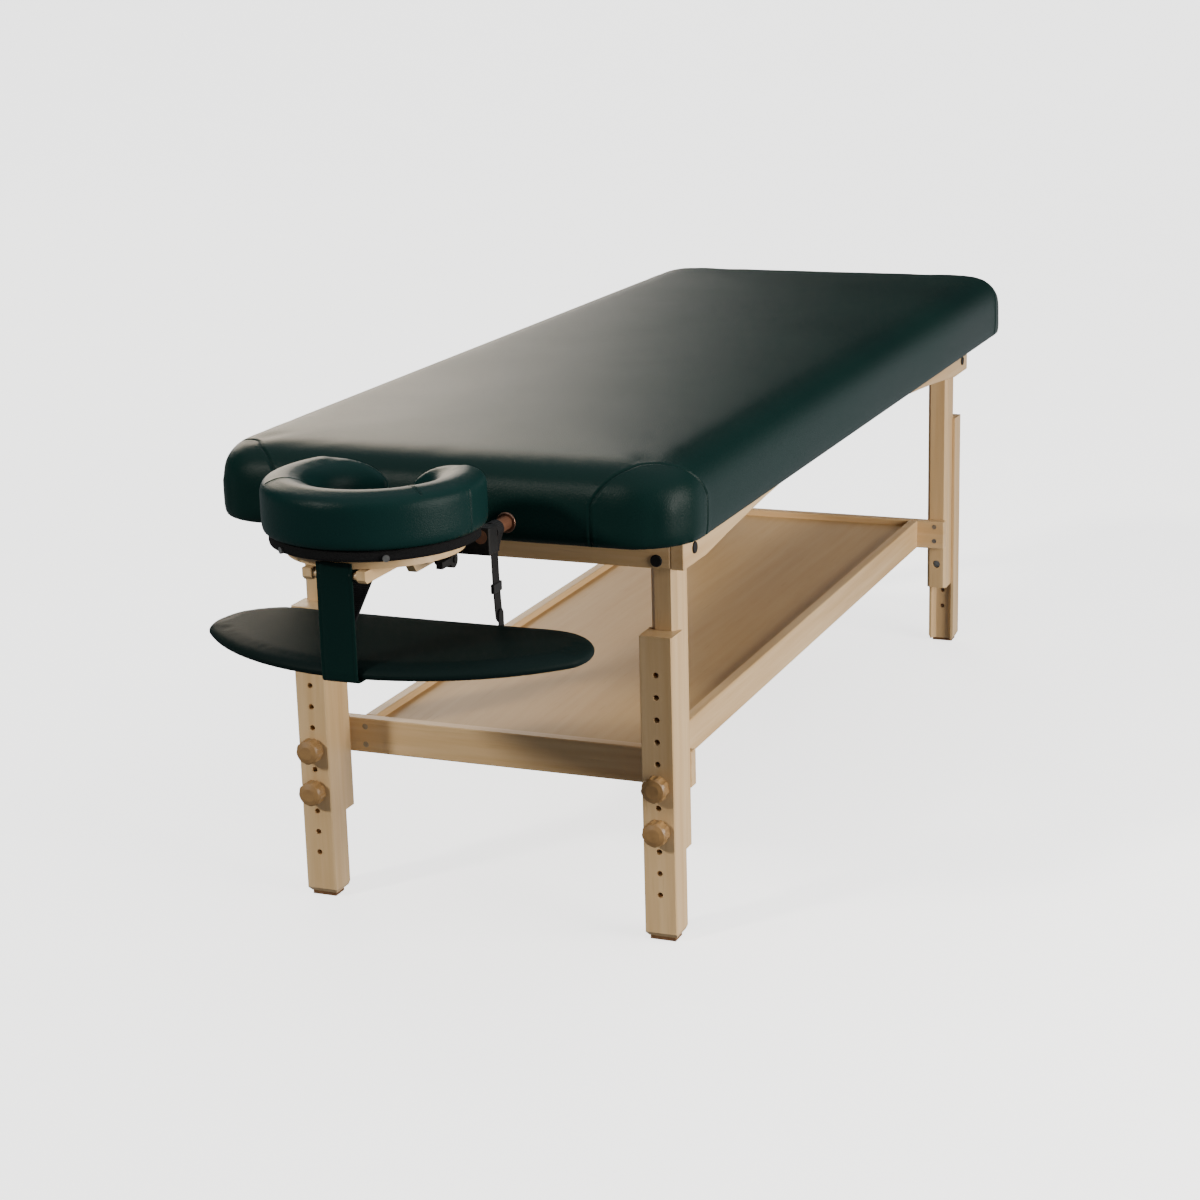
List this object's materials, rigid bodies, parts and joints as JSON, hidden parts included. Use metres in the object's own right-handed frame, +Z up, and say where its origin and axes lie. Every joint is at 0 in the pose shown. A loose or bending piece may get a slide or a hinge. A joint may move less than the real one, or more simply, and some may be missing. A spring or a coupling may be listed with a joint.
{
  "type": "massage table",
  "caption": "Stationary massage table with a thick padded top, arched wooden frame, telescoping legs, low shelf, padded face rest on rods and a hanging arm sling.",
  "frame": {"origin": "on the floor, under the middle of the overall length and width", "axes": "+Z up, +Y from the face rest towards the foot end, +X to the right seen from the face rest"},
  "size_m": [0.711, 2.165, 0.73],
  "materials": {
    "green_vinyl": "satin",
    "maple": "satin",
    "plywood": "matte",
    "knob_wood": "satin",
    "black_steel": "satin",
    "steel": "satin",
    "black_paint": "satin",
    "black_webbing": "matte",
    "foot_rubber": "matte",
    "copper": "polished"
  },
  "bodies": {
    "frame": {"table_cushion": "green_vinyl", "side_rail_left": "maple", "side_rail_right": "maple", "end_rail_head": "maple", "end_rail_foot": "maple", "shelf_rail_left": "maple", "shelf_rail_right": "maple", "shelf_end_head": "maple", "shelf_end_foot": "maple", "upper_leg_head_left": "maple", "upper_leg_head_right": "maple", "upper_leg_foot_left": "maple", "upper_leg_foot_right": "maple", "deck_panel": "plywood", "deck_head_block": "plywood", "deck_foot_block": "plywood", "deck_members": "plywood", "shelf_panel": "plywood", "shelf_cleats": "plywood", "frame_bolts": "black_steel", "leg_bolts": "steel", "leg_inserts": "steel", "shelf_screws": "steel", "rod_rings": "copper", "rod_sleeves": "copper"},
    "cradle": {"cradle_rods": "maple", "cradle_bar": "black_paint", "cradle_arms": "maple", "pivot_pin": "black_steel", "sling_dowels": "maple", "strap_loops": "black_webbing", "strap_hanger": "black_webbing"},
    "headrest": {"face_platform": "maple", "platform_lugs": "black_paint", "hook_band": "black_webbing", "face_cushion": "green_vinyl", "snap_studs": "steel"},
    "cams": {"cam_levers": "black_paint"},
    "front_strap": {"front_strap": "green_vinyl"},
    "sling": {"sling_pad": "green_vinyl", "sling_core": "plywood"},
    "rear_strap_left": {"rear_strap_left": "black_webbing"},
    "rear_strap_right": {"rear_strap_right": "black_webbing"},
    "leg_head_left": {"leg_extension_head_left": "maple", "foot_pad_head_left": "foot_rubber"},
    "knob_head_left_high": {"knob_head_left_high": "knob_wood"},
    "knob_head_left_low": {"knob_head_left_low": "knob_wood"},
    "leg_head_right": {"leg_extension_head_right": "maple", "foot_pad_head_right": "foot_rubber"},
    "knob_head_right_high": {"knob_head_right_high": "knob_wood"},
    "knob_head_right_low": {"knob_head_right_low": "knob_wood"},
    "leg_foot_left": {"leg_extension_foot_left": "maple", "foot_pad_foot_left": "foot_rubber"},
    "knob_foot_left_high": {"knob_foot_left_high": "knob_wood"},
    "knob_foot_left_low": {"knob_foot_left_low": "knob_wood"},
    "leg_foot_right": {"leg_extension_foot_right": "maple", "foot_pad_foot_right": "foot_rubber"},
    "knob_foot_right_high": {"knob_foot_right_high": "knob_wood"},
    "knob_foot_right_low": {"knob_foot_right_low": "knob_wood"}
  },
  "joints": [
    {"name": "leg_slide_head_left", "type": "slide", "parent": "frame", "child": "leg_head_left", "axis": [0, 0, -1], "range_m": [-0.0647, 0.1293]},
    {"name": "turn_knob_head_left_high", "type": "hinge", "parent": "frame", "child": "knob_head_left_high", "pos_m": [-0.27, -0.6505, 0.23225], "axis": [0, -1, 0], "continuous": true},
    {"name": "turn_knob_head_left_low", "type": "hinge", "parent": "frame", "child": "knob_head_left_low", "pos_m": [-0.27, -0.6505, 0.16759], "axis": [0, -1, 0], "continuous": true},
    {"name": "leg_slide_head_right", "type": "slide", "parent": "frame", "child": "leg_head_right", "axis": [0, 0, -1], "range_m": [-0.0647, 0.1293]},
    {"name": "turn_knob_head_right_high", "type": "hinge", "parent": "frame", "child": "knob_head_right_high", "pos_m": [0.27, -0.6505, 0.23225], "axis": [0, -1, 0], "continuous": true},
    {"name": "turn_knob_head_right_low", "type": "hinge", "parent": "frame", "child": "knob_head_right_low", "pos_m": [0.27, -0.6505, 0.16759], "axis": [0, -1, 0], "continuous": true},
    {"name": "leg_slide_foot_left", "type": "slide", "parent": "frame", "child": "leg_foot_left", "axis": [0, 0, -1], "range_m": [-0.0647, 0.1293]},
    {"name": "turn_knob_foot_left_high", "type": "hinge", "parent": "frame", "child": "knob_foot_left_high", "pos_m": [-0.27, 0.9615, 0.23225], "axis": [0, 1, 0], "continuous": true},
    {"name": "turn_knob_foot_left_low", "type": "hinge", "parent": "frame", "child": "knob_foot_left_low", "pos_m": [-0.27, 0.9615, 0.16759], "axis": [0, 1, 0], "continuous": true},
    {"name": "leg_slide_foot_right", "type": "slide", "parent": "frame", "child": "leg_foot_right", "axis": [0, 0, -1], "range_m": [-0.0647, 0.1293]},
    {"name": "turn_knob_foot_right_high", "type": "hinge", "parent": "frame", "child": "knob_foot_right_high", "pos_m": [0.27, 0.9615, 0.23225], "axis": [0, 1, 0], "continuous": true},
    {"name": "turn_knob_foot_right_low", "type": "hinge", "parent": "frame", "child": "knob_foot_right_low", "pos_m": [0.27, 0.9615, 0.16759], "axis": [0, 1, 0], "continuous": true},
    {"name": "cradle_slide", "type": "slide", "parent": "frame", "child": "cradle", "axis": [0, -1, 0], "range_m": [0, 0.12]},
    {"name": "headrest_tilt", "type": "hinge", "parent": "cradle", "child": "headrest", "pos_m": [0, -0.8795, 0.602], "axis": [-1, 0, 0], "range_deg": [0, 20]},
    {"name": "cam_turn", "type": "hinge", "parent": "cradle", "child": "cams", "pos_m": [0, -0.8795, 0.602], "axis": [1, 0, 0], "range_deg": [0, 90]},
    {"name": "sling_swing", "type": "hinge", "parent": "cradle", "child": "front_strap", "pos_m": [0, -1.0517, 0.59135], "axis": [1, 0, 0], "range_deg": [-15, 15]},
    {"name": "sling_level", "type": "hinge", "parent": "front_strap", "child": "sling", "pos_m": [0, -1.0517, 0.49875], "axis": [1, 0, 0], "range_deg": [-15, 15]},
    {"name": "rear_swing_left", "type": "hinge", "parent": "cradle", "child": "rear_strap_left", "pos_m": [-0.11, -0.8145, 0.6054], "axis": [1, 0, 0], "range_deg": [-15, 15]},
    {"name": "rear_swing_right", "type": "hinge", "parent": "cradle", "child": "rear_strap_right", "pos_m": [0.11, -0.8145, 0.6054], "axis": [1, 0, 0], "range_deg": [-15, 15]}
  ],
  "couplings": [
    {"joint": "sling_level", "follows": "sling_swing", "ratio": -1},
    {"joint": "rear_swing_left", "follows": "sling_swing", "ratio": 1},
    {"joint": "rear_swing_right", "follows": "sling_swing", "ratio": 1}
  ]
}
